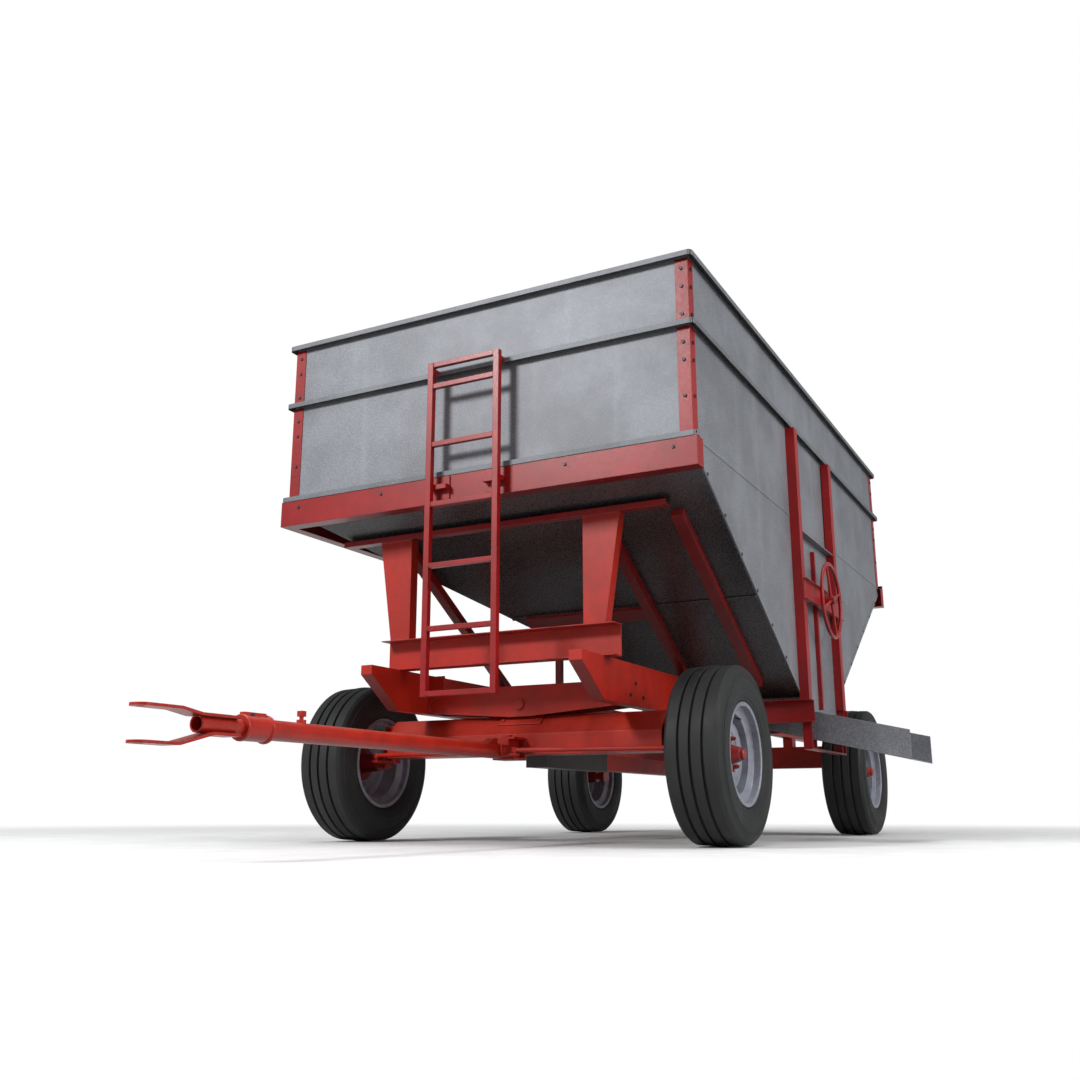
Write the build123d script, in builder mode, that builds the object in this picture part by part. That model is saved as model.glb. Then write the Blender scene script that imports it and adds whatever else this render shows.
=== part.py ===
from build123d import *
import os
from math import atan2, cos, degrees, hypot, pi, radians, sin, tan

# Gravity-discharge grain wagon. Millimetres, +Z up.
# Drawn with X = 0 on the wagon's mid-plane, Y = 0 at the box's front sheet and Z = 0 on the
# ground; the tongue points towards -Y and the discharge chute towards +X.

# ---- box -----------------------------------------------------------------------------------
box_width = 2294.0
box_length = 3925.0
sheet = 4.0
slope_top = 1722.0
side_seam = 1785.0
ledge_height = 1790.0
middle_height = 2324.0
top_height = 2663.0
lip = 33.0
lip_depth = 26.0
lip_corner_radius = 22.0
joint_gap = 0.5

# ---- hopper --------------------------------------------------------------------------------
mouth_front = 1580.0
mouth_rear = 2345.0
mouth_left = 475.0
mouth_height = 762.0
mouth_top = 1290.0
floor_drop = 58.0

# ---- box frame -----------------------------------------------------------------------------
beam_bottom = 1629.0
beam_reach = 30.0
beam_return = 45.0
beam_wall = 5.0
corner_leg = 60.0
corner_wall = 4.0
post_inner = 495.0
post_outer_top = 690.0
post_outer_foot = 611.0
post_front = 215.0
post_depth = 60.0
post_top = 1538.0
cap_beam_height = 28.0
cap_beam_half = 930.0
cross_height = 155.0
cross_half = 660.0
cross_front = 204.0
cross_depth = 80.0
frame_wall = 5.0

# ---- chassis rails -------------------------------------------------------------------------
rail_outer = 605.0
rail_width = 65.0
rail_bottom = 652.0
rail_top = 856.0
rail_nose = -30.0
nose_height = 46.0
nose_run = 235.0
notch_gap = 6.0

# ---- slope bracing -------------------------------------------------------------------------
brace_x = 572.0
brace_width = 50.0
brace_depth = 45.0
stiffener_x = 950.0
stiffener_width = 60.0
stiffener_depth = 40.0
stiffener_end = 1440.0
band_y = 890.0
band_width = 70.0
band_depth = 25.0
strut_y = 2050.0
strut_width = 40.0

# ---- gate ----------------------------------------------------------------------------------
gate_rail_width = 60.0
gate_rail_depth = 53.0
gate_groove = 14.0
gate_clearance = 0.3
gate_thickness = 5.0
gate_bottom = 700.0
gate_top = 1700.0
gate_flange = 42.0
gate_travel = 580.0
gate_stop = 10.0
rack_bottom = 717.0
rack_top = 1640.0
rack_depth = 24.0
rack_body = 22.0
gear_module = 4.5
pinion_teeth = 12
tooth_share = 0.36
shaft_y = 1980.0
shaft_z = 1350.0
shaft_radius = 12.0
shaft_clearance = 0.05
bracket_height = 120.0
bracket_wall = 6.0
bracket_flange = 25.0
wheel_radius = 215.0
wheel_tube = 11.0
wheel_spokes = 4
spoke_radius = 8.0
wheel_hub_radius = 24.0
wheel_hub_length = 40.0

# ---- sill, chute and hanger ----------------------------------------------------------------
sill_end = 1215.0
sill_top = 742.0
sill_bottom = 622.0
sill_width = 60.0
chute_slope = 13.0
chute_half = 322.0
chute_depth = 150.0
chute_sheet = 4.0
chute_tip_x = 1689.0
chute_tip_z = 418.0
chute_start_x = 905.0
chute_top_limit = 690.0
hanger_x = 1145.0
hanger_width = 50.0
hanger_wall = 8.0
hanger_bottom = 480.0

# ---- ladder --------------------------------------------------------------------------------
ladder_half = 190.0
ladder_tube = 30.0
ladder_wall = 2.5
ladder_y = -87.0
ladder_bottom = 675.0
ladder_top = 2345.0
rung_tube = 24.0
rung_first = 690.0
rung_step = 306.0
rung_count = 6
standoff_width = 50.0
standoff_wall = 8.0

# ---- running gear --------------------------------------------------------------------------
front_axle_y = 587.0
rear_axle_y = 3357.0
track = 2034.0
axle_height = 413.0
axle_half = 780.0
axle_bottom = 430.0
axle_step = 530.0
axle_top = 624.0
axle_front = 450.0
axle_lean = 80.0
axle_rear = 644.0
pivot_height = 682.0
pivot_radius = 20.0
pivot_clearance = 0.05
pivot_lug_half = 60.0
bolster_front = 485.0
bolster_rear = 669.0
bolster_wall = 15.0
bolster_top = 775.0
bolster_vee = 620.0
kingpin_x = 830.0
kingpin_radius = 16.0
kingpin_clearance = 0.05
boss_radius = 32.0
boss_bottom = 420.0
boss_top = 590.0
yoke_wall = 14.0
yoke_gap = 0.3
knuckle_x = 866.0
knuckle_wall = 11.0
steer_arm = 162.0
arm_width = 34.0
stub_radius = 25.0
stub_end = 1118.0
bearing_clearance = 0.05
rear_beam_bottom = 445.0
rear_beam_top = 590.0
rear_beam_width = 90.0
reach_bottom = 375.0
reach_size = 100.0
reach_wall = 6.0
reach_sleeve_end = 1430.0
reach_clearance = 0.2

# ---- wheels --------------------------------------------------------------------------------
tyre_radius = 413.0
tyre_half = 140.5
tyre_gap = 0.2
groove_pitch = 56.0
groove_width = 9.0
groove_depth = 13.0
rim_half = 121.0
rim_flange = 239.0
rim_seat = 225.0
rim_well = 188.0
rim_wall = 4.0
disc_hole = 52.0
lug_circle = 76.0
lug_count = 6
lug_across = 22.0
lug_height = 20.0
hub_nose = 118.0

# ---- steering and tongue -------------------------------------------------------------------
yaw_y = 370.0
yaw_radius = 18.0
yaw_clearance = 0.05
tongue_z = 440.0
tongue_radius = 37.0
tongue_bore = 32.5
lift_y = 255.0
lift_radius = 12.0
lift_clearance = 0.05
ear_gap = 40.0
ear_wall = 12.0
tongue_rear = 275.0
tongue_front = -1491.0
collar_length = 133.0
collar_radius = 45.0
slider_radius = 30.0
slider_clearance = 0.4
slider_hold = 491.0
slider_front = -1690.0
tongue_travel = 300.0
hitch_y = -1925.0
hitch_tip = -1959.0
hitch_upper = 484.0
hitch_lower = 364.0
hitch_wall = 10.0
hitch_width = 80.0
hitch_hole = 16.5
latch_y = -1168.0
rod_radius = 11.0
rod_z = 442.0
rod_inner_x = 90.0
rod_inner_y = 281.0
arm_plate = 10.0
stud_radius = 7.0

half = box_width / 2
gate_rail_top = gate_top + gate_travel + gate_stop
slider_rear = tongue_front + tongue_travel + slider_hold
inner = half - sheet
rise = (slope_top - mouth_height) / (mouth_front - sheet)
slope_angle = degrees(atan2(slope_top - mouth_height, mouth_front - sheet))
wheel_x = track / 2
brace_drop = sheet / cos(radians(slope_angle))
centre_x = (chute_tip_x - half - lip) / 2
centre_y = (box_length + lip + hitch_tip) / 2

os.makedirs("parts", exist_ok=True)


def save(part, name):
    """Label one sub-part, set it over the middle of the wagon's footprint and write it."""
    placed = part.moved(Location((-centre_x, -centre_y, 0)))
    placed.label = name
    export_step(placed, f"parts/{name}.step")


def add_block(x0, x1, y0, y1, z0, z1, mode=Mode.ADD):
    """Add (or cut) a plain block given by its limits, inside the current part."""
    with Locations(((x0 + x1) / 2, (y0 + y1) / 2, (z0 + z1) / 2)):
        Box(abs(x1 - x0), abs(y1 - y0), abs(z1 - z0), mode=mode)


def add_profile(points, plane, depth, mode=Mode.ADD):
    """Extrude a straight-sided outline from its plane."""
    with BuildSketch(plane) as profile:
        with BuildLine():
            Polyline(*points, close=True)
        make_face()
    extrude(profile.sketch, amount=depth, mode=mode)


def sloped_sheet(corners, outward, thickness):
    """A flat sheet through the given corners, thickened to its outer side."""
    start = Vector(*corners[0])
    along = Vector(*corners[1]) - start
    plane = Plane(origin=start, x_dir=along, z_dir=Vector(*outward))
    outline = [plane.to_local_coords(Vector(*corner)) for corner in corners]
    with BuildPart() as panel:
        add_profile([(point.X, point.Y) for point in outline], plane, thickness)
    return panel.part


def slope_height(y):
    """Height of the front slope's inner face at a distance y from the front."""
    return slope_top - rise * (y - sheet)


def at_rear(part):
    """The same sub-part at the rear of the box, mirrored front to back."""
    return mirror(part, about=Plane.XZ.offset(-box_length / 2))


# ============================== box sheets ==================================================

def make_wall(x0, x1, y0, y1, z0, z1):
    """One upright box sheet."""
    with BuildPart() as wall:
        add_block(x0, x1, y0, y1, z0, z1)
    return wall.part


def make_wall_ring(z0, z1, right_bottom):
    """Front, rear, left and right sheets of one box storey."""
    return [
        make_wall(-inner, inner, 0, sheet, z0, z1),
        make_wall(-inner, inner, box_length - sheet, box_length, z0, z1),
        make_wall(-half, -inner, 0, box_length, z0, z1),
        make_wall(inner, half, 0, box_length, right_bottom, z1),
    ]


box_sheets = make_wall_ring(slope_top, middle_height, side_seam)
for wall, name in zip(box_sheets, ("front_sheet", "rear_sheet", "left_sheet", "right_sheet")):
    save(wall, name)
save(Compound(children=make_wall_ring(middle_height, top_height, middle_height)), "extension_sheets")

# The lower right side is one vee, in a front, a rear and an over-the-gate panel.
with BuildPart() as front_vee:
    add_profile(
        [(0, side_seam), (mouth_front, side_seam), (mouth_front, mouth_height), (0, slope_top)],
        Plane.YZ.offset(inner),
        sheet,
    )
with BuildPart() as rear_vee:
    add_profile(
        [
            (mouth_rear, side_seam),
            (box_length, side_seam),
            (box_length, slope_top),
            (mouth_rear, mouth_height),
        ],
        Plane.YZ.offset(inner),
        sheet,
    )
gate_header = make_wall(inner, half, mouth_front, mouth_rear, mouth_top, side_seam)
save(Compound(children=[front_vee.part, rear_vee.part, gate_header]), "right_lower_panels")

# ============================== hopper slopes ===============================================

rear_run = box_length - mouth_rear - sheet
side_run = mouth_left + inner
slope_drop = slope_top - mouth_height
front_left = (-inner, sheet, slope_top)
front_right = (inner, sheet, slope_top)
rear_left = (-inner, box_length - sheet, slope_top)
rear_right = (inner, box_length - sheet, slope_top)
low_front_left = (mouth_left, mouth_front, mouth_height)
low_front_right = (inner, mouth_front, mouth_height)
low_rear_left = (mouth_left, mouth_rear, mouth_height)
low_rear_right = (inner, mouth_rear, mouth_height)

save(
    sloped_sheet(
        [front_left, front_right, low_front_right, low_front_left],
        (0, -slope_drop, -(mouth_front - sheet)),
        sheet,
    ),
    "front_slope",
)
save(
    sloped_sheet(
        [rear_right, rear_left, low_rear_left, low_rear_right],
        (0, slope_drop, -rear_run),
        sheet,
    ),
    "rear_slope",
)
save(
    sloped_sheet(
        [rear_left, front_left, low_front_left, low_rear_left],
        (-slope_drop, 0, -side_run),
        sheet,
    ),
    "left_slope",
)

# The throat under the slopes leads to the gate: a sloped floor between two cheeks.
gate_sill_height = mouth_height - floor_drop
with BuildPart() as throat_floor:
    add_profile(
        [
            (mouth_left, mouth_height),
            (inner, gate_sill_height),
            (inner, gate_sill_height - sheet),
            (mouth_left, mouth_height - sheet),
        ],
        Plane.XZ.offset(-mouth_rear),
        mouth_rear - mouth_front,
    )
throat_pieces = [throat_floor.part]
cheek_top = mouth_height - sheet * cos(radians(slope_angle)) - joint_gap
for cheek_y in (mouth_front, mouth_rear + sheet):
    with BuildPart() as cheek:
        add_profile(
            [
                (mouth_left, cheek_top),
                (inner, cheek_top),
                (inner, gate_sill_height - sheet),
                (mouth_left, mouth_height - sheet),
            ],
            Plane.XZ.offset(-cheek_y),
            sheet,
        )
    throat_pieces.append(cheek.part)
save(Compound(children=throat_pieces), "throat")

# ============================== rims and ledges =============================================

def make_end_lip(y0, y1, top, inward):
    """A rim bar across one end, with rounded corners and a turned-down lip."""
    reach = half + lip
    with BuildPart() as bar:
        add_block(-reach, reach, y0, y1, top - lip_depth, top)
        corners = bar.edges().filter_by(Axis.Z).group_by(Axis.Y)[0 if inward > 0 else -1]
        fillet(corners, lip_corner_radius)
        low = y0 + beam_wall if inward > 0 else y0 - 1
        high = y1 + 1 if inward > 0 else y1 - beam_wall
        add_block(
            beam_wall - reach, reach - beam_wall, low, high,
            top - lip_depth - 1, top - beam_wall, Mode.SUBTRACT,
        )
    return bar.part


def make_side_lip(side, top):
    """A rim bar along one side, between the end bars."""
    outer = side * (half + lip)
    with BuildPart() as bar:
        add_block(outer, side * half, joint_gap, box_length - joint_gap, top - lip_depth, top)
        add_block(
            outer - side * beam_wall, 0, 0, box_length,
            top - lip_depth - 1, top - beam_wall, Mode.SUBTRACT,
        )
    return bar.part


def make_rim(top):
    """Four rim bars round the box at one height."""
    return [
        make_end_lip(-lip, 0, top, 1),
        make_end_lip(box_length, box_length + lip, top, -1),
        make_side_lip(-1, top),
        make_side_lip(1, top),
    ]


front_ledge = make_end_lip(-lip, 0, ledge_height, 1)
save(Compound(children=make_rim(middle_height) + [front_ledge, at_rear(front_ledge)]), "ledges")
save(Compound(children=make_rim(top_height)), "top_rim")

# ============================== box beams ===================================================

beam_top = ledge_height - lip_depth


def make_end_beam():
    """The channel across the front of the box, wrapping both corners under the ledge."""
    reach = half + beam_reach
    with BuildPart() as beam:
        add_block(-reach, reach, -beam_reach, beam_return, beam_bottom, beam_top)
        add_block(
            beam_wall - reach, reach - beam_wall, beam_wall - beam_reach, beam_return + 1,
            beam_bottom + beam_wall, beam_top - beam_wall, Mode.SUBTRACT,
        )
        add_block(-half, half, 0, beam_return + 1, slope_top, ledge_height, Mode.SUBTRACT)
    return beam.part


with BuildPart() as left_beam:
    start = beam_return + joint_gap
    end = box_length - beam_return - joint_gap
    add_block(-half - beam_reach, -half + beam_reach, start, end, beam_bottom, beam_top)
    add_block(
        -half - beam_reach + beam_wall, half, start - 1, end + 1,
        beam_bottom + beam_wall, beam_top - beam_wall, Mode.SUBTRACT,
    )
    add_block(-half, half, start - 1, end + 1, slope_top, ledge_height, Mode.SUBTRACT)
front_beam = make_end_beam()
save(Compound(children=[front_beam, at_rear(front_beam), left_beam.part]), "box_beams")

# ============================== corner posts ================================================

with BuildPart() as corner_posts:
    for low, high in ((ledge_height, middle_height - lip_depth), (middle_height, top_height - lip_depth)):
        for side in (-1, 1):
            edge = side * (half + corner_wall)
            for end, outward in ((0, -1), (box_length, 1)):
                face = end + outward * corner_wall
                reach = end - outward * corner_leg
                add_block(edge, side * (half - corner_leg), face, end, low, high)
                add_block(edge, side * half, face, reach, low, high)
save(corner_posts.part, "corner_posts")

# ============================== front and rear frame ========================================

post_foot = rail_top + cross_height
post_back = post_front + post_depth
cap_front = post_front - 10
cap_back = post_front + 45


def post_outline(side, inset):
    """A post's tapered face, shrunk by the inset."""
    return [
        (side * (post_inner + inset), post_foot + inset),
        (side * (post_outer_foot - inset), post_foot + inset),
        (side * (post_outer_top - inset), post_top - inset),
        (side * (post_inner + inset), post_top - inset),
    ]


with BuildPart() as front_posts:
    for side in (-1, 1):
        back_plane = Plane.XZ.offset(-post_back)
        add_profile(post_outline(side, 0), back_plane, post_depth)
        add_profile(post_outline(side, frame_wall), back_plane, post_depth - frame_wall, Mode.SUBTRACT)
save(Compound(children=[front_posts.part, at_rear(front_posts.part)]), "frame_posts")

with BuildPart() as cap_beam:
    cap_top = post_top + cap_beam_height
    add_block(-cap_beam_half, cap_beam_half, cap_front, cap_back, post_top, cap_top)
    add_block(
        -cap_beam_half - 1, cap_beam_half + 1, cap_front + frame_wall, cap_back + 1,
        post_top + frame_wall, cap_top + 1, Mode.SUBTRACT,
    )
save(Compound(children=[cap_beam.part, at_rear(cap_beam.part)]), "cap_beams")

with BuildPart() as cross_channel:
    cross_back = cross_front + cross_depth
    add_block(-cross_half, cross_half, cross_front, cross_back, rail_top, post_foot)
    add_block(
        -cross_half - 1, cross_half + 1, cross_front - 1, cross_back - frame_wall,
        rail_top + frame_wall, post_foot - frame_wall, Mode.SUBTRACT,
    )
save(Compound(children=[cross_channel.part, at_rear(cross_channel.part)]), "cross_channels")

# ============================== rails =======================================================

rail_inner = rail_outer - rail_width
rail_end = box_length - rail_nose


def rail_outline(inset, end, notched):
    """Side outline of a rail with its cut-back nose, and cut down under the hopper if notched."""
    points = [
        (rail_nose + inset, rail_top - inset),
        (rail_nose + inset, rail_top - nose_height + inset),
        (rail_nose + nose_run + inset, rail_bottom + inset),
        (end, rail_bottom + inset),
        (end, rail_top - inset),
    ]
    if notched:
        notch_top = mouth_height - floor_drop * (rail_outer - mouth_left) / (inner - mouth_left)
        notch_top -= 2 * sheet
        notch_end = mouth_front - sheet - notch_gap - inset / 2
        notch_start = notch_end - (rail_top - notch_top) / rise
        points += [
            (box_length - notch_start, rail_top - inset),
            (box_length - notch_end, notch_top - inset),
            (notch_end, notch_top - inset),
            (notch_start, rail_top - inset),
        ]
    return points


for start, name in ((-rail_outer, "left_rail"), (rail_inner, "right_rail")):
    notched = start > 0
    with BuildPart() as rail:
        add_profile(rail_outline(0, rail_end, notched), Plane.YZ.offset(start), rail_width)
        add_profile(
            rail_outline(frame_wall, rail_end + 1, notched),
            Plane.YZ.offset(start + frame_wall),
            rail_width - 2 * frame_wall,
            Mode.SUBTRACT,
        )
    save(rail.part, name)

# ============================== slope bracing ===============================================

tilt = radians(slope_angle)
brace_start = cross_front + cross_depth + 20


def under_slope(y, depth):
    """Height at y of a line that runs under the front slope, at a depth square to it."""
    return slope_height(y) - brace_drop - depth / cos(tilt)


def add_slope_bar(middle, width, depth, y0, y1):
    """A bar under the front slope, running straight down it between two distances."""
    outline = []
    for y, under in ((y0, 0), (y1, 0), (y1, depth), (y0, depth)):
        outline.append((y - under * sin(tilt), under_slope(y, 0) - under * cos(tilt)))
    add_profile(outline, Plane.YZ.offset(middle - width / 2), width)


def add_brace(middle):
    """A brace under the front slope, its foot cut level to stand on the rail."""
    top_end = sheet + (slope_top - brace_drop - rail_top) / rise
    low_end = top_end - brace_depth / cos(tilt) / rise
    low_start = brace_start - brace_depth * sin(tilt)
    outline = [
        (brace_start, under_slope(brace_start, 0)),
        (top_end, rail_top),
        (low_end, rail_top),
        (low_start, under_slope(low_start, brace_depth)),
    ]
    add_profile(outline, Plane.YZ.offset(middle - brace_width / 2), brace_width)


with BuildPart() as front_bars:
    for middle in (-brace_x, brace_x):
        add_brace(middle)
    add_slope_bar(stiffener_x, stiffener_width, stiffener_depth, brace_start, stiffener_end)
    band_left = side_run * (band_y - sheet) / (mouth_front - sheet) - inner + band_width
    band_right = brace_x - brace_width / 2 - joint_gap
    add_slope_bar((band_left + band_right) / 2, band_right - band_left, band_depth,
                  band_y - band_width / 2, band_y + band_width / 2)
strut_x = rail_outer - rail_width / 2
with BuildPart() as strut:
    left_slope_rise = slope_drop / side_run
    strut_left = -strut_x - strut_width / 2
    strut_right = -strut_x + strut_width / 2
    under = sheet / cos(atan2(slope_drop, side_run))
    add_profile(
        [
            (strut_left, rail_top),
            (strut_right, rail_top),
            (strut_right, slope_top - left_slope_rise * (strut_right + inner) - under),
            (strut_left, slope_top - left_slope_rise * (strut_left + inner) - under),
        ],
        Plane.XZ.offset(-strut_y - strut_width / 2),
        strut_width,
    )
save(Compound(children=[front_bars.part, at_rear(front_bars.part), strut.part]), "slope_braces")

# ============================== gate ========================================================

gate_middle = (mouth_front + mouth_rear) / 2


def across_gate(part):
    """The same sub-part on the other side of the gate."""
    return mirror(part, about=Plane.XZ.offset(-gate_middle))


gate_front = mouth_front - gate_rail_width + 20
gate_jamb = gate_front + gate_rail_width
gate_face = half + gate_clearance + gate_thickness
with BuildPart() as gate_rail:
    add_block(half, half + gate_rail_depth, gate_front, gate_jamb, sill_top, gate_rail_top)
    add_block(
        half - 1, gate_face + gate_clearance, gate_jamb - gate_groove, gate_jamb + 1,
        sill_top - 1, gate_rail_top + 1, Mode.SUBTRACT,
    )
save(Compound(children=[gate_rail.part, across_gate(gate_rail.part)]), "gate_rails")

gate_edge = gate_jamb - gate_groove + 2
flange_edge = gate_jamb + 3
with BuildPart() as gate_sheet:
    add_block(
        half + gate_clearance, gate_face,
        gate_edge, 2 * gate_middle - gate_edge, gate_bottom, gate_top,
    )
    add_block(
        gate_face, gate_face + gate_flange,
        flange_edge, 2 * gate_middle - flange_edge, gate_top - gate_thickness, gate_top,
    )
save(gate_sheet.part, "gate_sheet")

pitch_radius = gear_module * pinion_teeth / 2
tooth_pitch = pi * gear_module
addendum = 0.9 * gear_module
dedendum = 1.15 * gear_module
half_tooth = tooth_share * tooth_pitch / 2
tip_half = half_tooth - addendum * tan(radians(20))
root_half = half_tooth + dedendum * tan(radians(20))
rack_line = shaft_y - pitch_radius


def rack_outline():
    """The rack's outline with a tooth gap level with the pinion's axis."""
    points = [(rack_line - dedendum - rack_body, rack_bottom)]
    points.append((rack_line - dedendum, rack_bottom))
    first = int((rack_bottom - shaft_z) / tooth_pitch) + 1
    last = int((rack_top - shaft_z) / tooth_pitch) - 1
    for tooth in range(first, last):
        centre = shaft_z + (tooth + 0.5) * tooth_pitch
        points.append((rack_line - dedendum, centre - root_half))
        points.append((rack_line + addendum, centre - tip_half))
        points.append((rack_line + addendum, centre + tip_half))
        points.append((rack_line - dedendum, centre + root_half))
    points.append((rack_line - dedendum, rack_top))
    points.append((rack_line - dedendum - rack_body, rack_top))
    return points


with BuildPart() as gate_rack:
    add_profile(rack_outline(), Plane.YZ.offset(gate_face), rack_depth)
save(gate_rack.part, "gate_rack")

bracket_low = shaft_z - bracket_height / 2
bracket_high = shaft_z + bracket_height / 2
bracket_face = half + gate_rail_depth
boss_length = 22.0
with BuildPart() as wheel_bracket:
    bracket_end = 2 * gate_middle - gate_front
    add_block(bracket_face, bracket_face + bracket_wall, gate_front, bracket_end,
              bracket_low, bracket_high)
    for low in (bracket_low, bracket_high - bracket_wall):
        add_block(bracket_face, bracket_face + bracket_flange, gate_front, bracket_end,
                  low, low + bracket_wall)
    with BuildSketch(Plane.YZ.offset(bracket_face)):
        with Locations((shaft_y, shaft_z)):
            Circle(2 * shaft_radius)
    extrude(amount=bracket_wall + boss_length)
    with BuildSketch(Plane.YZ.offset(bracket_face)):
        with Locations((shaft_y, shaft_z)):
            Circle(shaft_radius + shaft_clearance)
    extrude(amount=bracket_wall + boss_length, mode=Mode.SUBTRACT)
save(wheel_bracket.part, "wheel_bracket")

pinion_start = gate_face + 2.5
hub_start = bracket_face + bracket_wall + boss_length + 1
wheel_end = hub_start + wheel_hub_length


def pinion_outline():
    """The pinion's outline with one tooth pointing at the rack."""
    points = []
    for tooth in range(pinion_teeth):
        middle = pi + tooth * 2 * pi / pinion_teeth
        for radius, width in (
            (pitch_radius - dedendum, -root_half),
            (pitch_radius + addendum, -tip_half),
            (pitch_radius + addendum, tip_half),
            (pitch_radius - dedendum, root_half),
        ):
            angle = middle + width / radius
            points.append((shaft_y + radius * cos(angle), shaft_z + radius * sin(angle)))
    return points


with BuildPart() as pinion_shaft:
    add_profile(pinion_outline(), Plane.YZ.offset(pinion_start), rack_depth - 4)
    with BuildSketch(Plane.YZ.offset(pinion_start)):
        with Locations((shaft_y, shaft_z)):
            Circle(shaft_radius)
    extrude(amount=wheel_end + 4 - pinion_start)
save(pinion_shaft.part, "pinion_shaft")

with BuildPart() as hand_wheel:
    wheel_plane = (hub_start + wheel_end) / 2
    with Locations(Location((wheel_plane, shaft_y, shaft_z), (0, 90, 0))):
        Torus(wheel_radius, wheel_tube)
        Cylinder(wheel_hub_radius, wheel_hub_length)
        for spoke in range(wheel_spokes):
            with Locations(Rotation(0, 0, spoke * 360 / wheel_spokes + 20)):
                with Locations(Location((wheel_radius / 2, 0, 0), (0, 90, 0))):
                    Cylinder(spoke_radius, wheel_radius)
        Cylinder(shaft_radius, wheel_hub_length + 10, mode=Mode.SUBTRACT)
save(hand_wheel.part, "hand_wheel")

# ============================== sill, chute and hanger ======================================

sill_back = mouth_front - sheet
with BuildPart() as sill:
    add_block(rail_outer, sill_end, sill_back - sill_width, sill_back, sill_bottom, sill_top)
    add_block(
        rail_outer - 1, sill_end + 1, sill_back - sill_width - 1, sill_back - frame_wall,
        sill_bottom + frame_wall, sill_top - frame_wall, Mode.SUBTRACT,
    )
save(Compound(children=[sill.part, across_gate(sill.part)]), "sill_channels")

fall = tan(radians(chute_slope))


def chute_height(x, lift=0.0):
    """Height of the chute's underside at x, plus a lift square to the slope."""
    return chute_tip_z + (chute_tip_x - x) * fall + lift / cos(radians(chute_slope))


with BuildPart() as chute:
    tip_top = chute_height(chute_tip_x, chute_depth)
    level_x = chute_tip_x - (chute_top_limit - tip_top) / fall
    add_profile(
        [
            (chute_start_x, chute_height(chute_start_x)),
            (chute_tip_x, chute_height(chute_tip_x)),
            (chute_tip_x, tip_top),
            (level_x, chute_top_limit),
            (chute_start_x, chute_top_limit),
        ],
        Plane.XZ.offset(-gate_middle - chute_half),
        2 * chute_half,
    )
    hollow_start = chute_start_x - 1
    hollow_end = chute_tip_x + 1
    hollow_half = chute_half - chute_sheet
    add_profile(
        [
            (hollow_start, chute_height(hollow_start, chute_sheet)),
            (hollow_end, chute_height(hollow_end, chute_sheet)),
            (hollow_end, chute_height(hollow_end, 2 * chute_depth)),
            (hollow_start, chute_height(hollow_start, 2 * chute_depth)),
        ],
        Plane.XZ.offset(-gate_middle - hollow_half),
        2 * hollow_half,
        Mode.SUBTRACT,
    )
save(chute.part, "chute")

with BuildPart() as chute_hanger:
    strap_end = 2 * gate_middle - sill_back
    hanger_end = hanger_x + hanger_width
    for start in (sill_back, strap_end - hanger_wall):
        add_block(hanger_x, hanger_end, start, start + hanger_wall, hanger_bottom, sill_top)
    add_block(hanger_x, hanger_end, sill_back, strap_end, hanger_bottom, hanger_bottom + hanger_wall)
    for pad_y in (gate_middle - chute_half + 30, gate_middle + chute_half - 18):
        add_profile(
            [
                (hanger_x, hanger_bottom),
                (hanger_end, hanger_bottom),
                (hanger_end, chute_height(hanger_end)),
                (hanger_x, chute_height(hanger_x)),
            ],
            Plane.XZ.offset(-pad_y),
            12.0,
        )
save(chute_hanger.part, "chute_hanger")

# ============================== ladder ======================================================

rail_reach = ladder_tube / 2
ladder_back = ladder_y + rail_reach
with BuildPart() as ladder_rails:
    for side in (-1, 1):
        middle = side * ladder_half
        add_block(middle - rail_reach, middle + rail_reach, ladder_y - rail_reach, ladder_back,
                  ladder_bottom, ladder_top)
        hollow = rail_reach - ladder_wall
        add_block(middle - hollow, middle + hollow, ladder_y - hollow, ladder_y + hollow,
                  ladder_bottom - 1, ladder_top + 1, Mode.SUBTRACT)
save(ladder_rails.part, "ladder_rails")

with BuildPart() as ladder_rungs:
    rung_heights = [rung_first + rung * rung_step for rung in range(rung_count)]
    rung_heights.append(ladder_top - rung_tube / 2)
    for height in rung_heights:
        add_block(rail_reach - ladder_half, ladder_half - rail_reach,
                  ladder_y - rung_tube / 2, ladder_y + rung_tube / 2,
                  height - rung_tube / 2, height + rung_tube / 2)
save(ladder_rungs.part, "ladder_rungs")

with BuildPart() as ladder_standoffs:
    for side in (-1, 1):
        near = side * (ladder_half + rail_reach)
        far = side * (ladder_half + rail_reach - 2 * standoff_width)
        foot = far + side * standoff_width
        add_block(far, foot, -beam_reach - standoff_wall, -beam_reach, beam_bottom + 12, beam_top - 4)
        add_block(far, near, ladder_back, -beam_reach - standoff_wall, beam_bottom + 60, beam_bottom + 84)
        add_block(side * (ladder_half - 10), side * (ladder_half + 10), ladder_back, -lip,
                  middle_height - lip_depth + 2, middle_height - 2)
save(ladder_standoffs.part, "ladder_standoffs")

# ============================== front bolster and axle ======================================

bolster_outline = [
    (-rail_inner, bolster_top),
    (rail_inner, bolster_top),
    (rail_inner, rail_bottom + 3),
    (pivot_lug_half, bolster_vee),
    (-pivot_lug_half, bolster_vee),
    (-rail_inner, rail_bottom + 3),
]


def add_bore(x, y, z, axis, radius, length, mode=Mode.SUBTRACT):
    """A round bore (or pin) centred on a point, along one of the main axes."""
    turns = {"x": (0, 90, 0), "y": (90, 0, 0), "z": (0, 0, 0)}
    with Locations(Location((x, y, z), turns[axis])):
        Cylinder(radius, length, mode=mode)


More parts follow.
